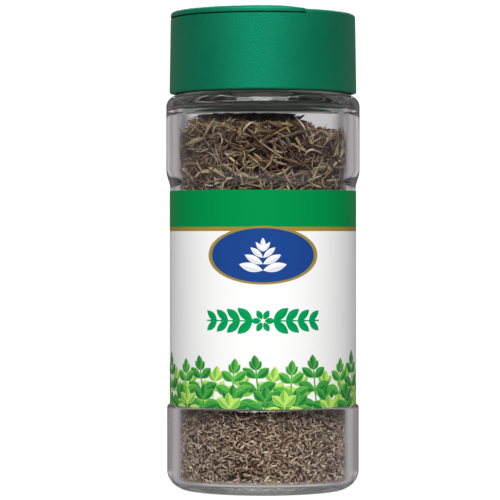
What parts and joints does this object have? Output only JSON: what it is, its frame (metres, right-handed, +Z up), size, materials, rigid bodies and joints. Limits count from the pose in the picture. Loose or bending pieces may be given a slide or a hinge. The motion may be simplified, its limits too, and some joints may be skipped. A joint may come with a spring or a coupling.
{
  "type": "spice jar",
  "caption": "Round clear-glass spice jar of dried thyme with a wrapped paper label and a green screw cap whose flap opens over a sifter deck.",
  "frame": {"origin": "centre of the base, on the surface that the jar stands on", "axes": "+Z up along the jar's axis; -Y faces the front of the label; +X to the right of someone facing the label"},
  "size_m": [0.0464, 0.0464, 0.114],
  "materials": {
    "clear_glass": "polished",
    "label_paper": "satin",
    "dried_thyme": "matte",
    "green_plastic": "satin",
    "green_flap_plastic": "satin",
    "liner_foam": "matte"
  },
  "bodies": {
    "jar": {"jar_glass": "clear_glass", "label": "label_paper", "thyme_fill": "dried_thyme"},
    "liner": {"liner_ring": "liner_foam"},
    "cap": {"cap_body": "green_plastic"},
    "flap": {"flap_lid": "green_flap_plastic"}
  },
  "joints": [
    {"name": "cap_lift", "type": "slide", "parent": "jar", "child": "liner", "axis": [0, 0, 1], "range_m": [0, 0.005]},
    {"name": "cap_turn", "type": "hinge", "parent": "liner", "child": "cap", "pos_m": [0, 0, 0.1], "axis": [0, 0, 1], "range_deg": [0, 450]},
    {"name": "flap_hinge", "type": "hinge", "parent": "cap", "child": "flap", "pos_m": [-0.00383, -0.00321, 0.1134], "axis": [-0.6428, 0.766, 0], "range_deg": [0, 125]}
  ],
  "couplings": [
    {"joint": "cap_lift", "follows": "cap_turn", "m_per_rad": 0.00063662}
  ]
}
